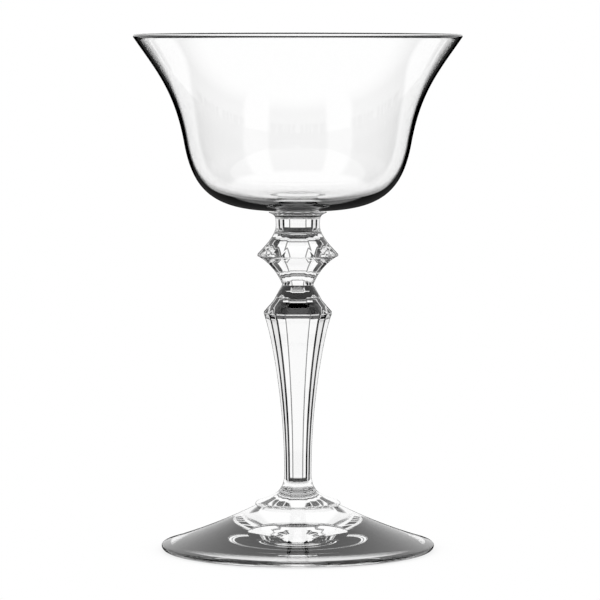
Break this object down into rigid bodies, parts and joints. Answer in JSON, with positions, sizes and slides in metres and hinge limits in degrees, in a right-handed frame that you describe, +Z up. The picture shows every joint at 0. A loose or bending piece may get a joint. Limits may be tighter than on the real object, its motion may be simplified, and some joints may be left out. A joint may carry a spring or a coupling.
{
  "type": "coupe glass",
  "caption": "Clear stemmed coupe glass with a flared, rounded bowl, a many-sided knopped stem and a low conical foot, for sparkling wine or cocktails.",
  "frame": {"origin": "centre of the ring on which the foot stands, in the plane of the table", "axes": "+Z up along the glass's axis towards the lip; -Y is the side that faces the camera in the picture, square to one of the stem's wide faces"},
  "size_m": [0.098, 0.098, 0.1541],
  "materials": {
    "bowl_glass": "clear thin blown glass, fire-polished lip",
    "stem_glass": "clear pressed glass with crisp facet edges",
    "foot_glass": "clear polished glass"
  },
  "bodies": {
    "root": {"bowl": "bowl_glass", "button": "stem_glass", "stem": "stem_glass", "foot": "foot_glass"}
  },
  "joints": []
}
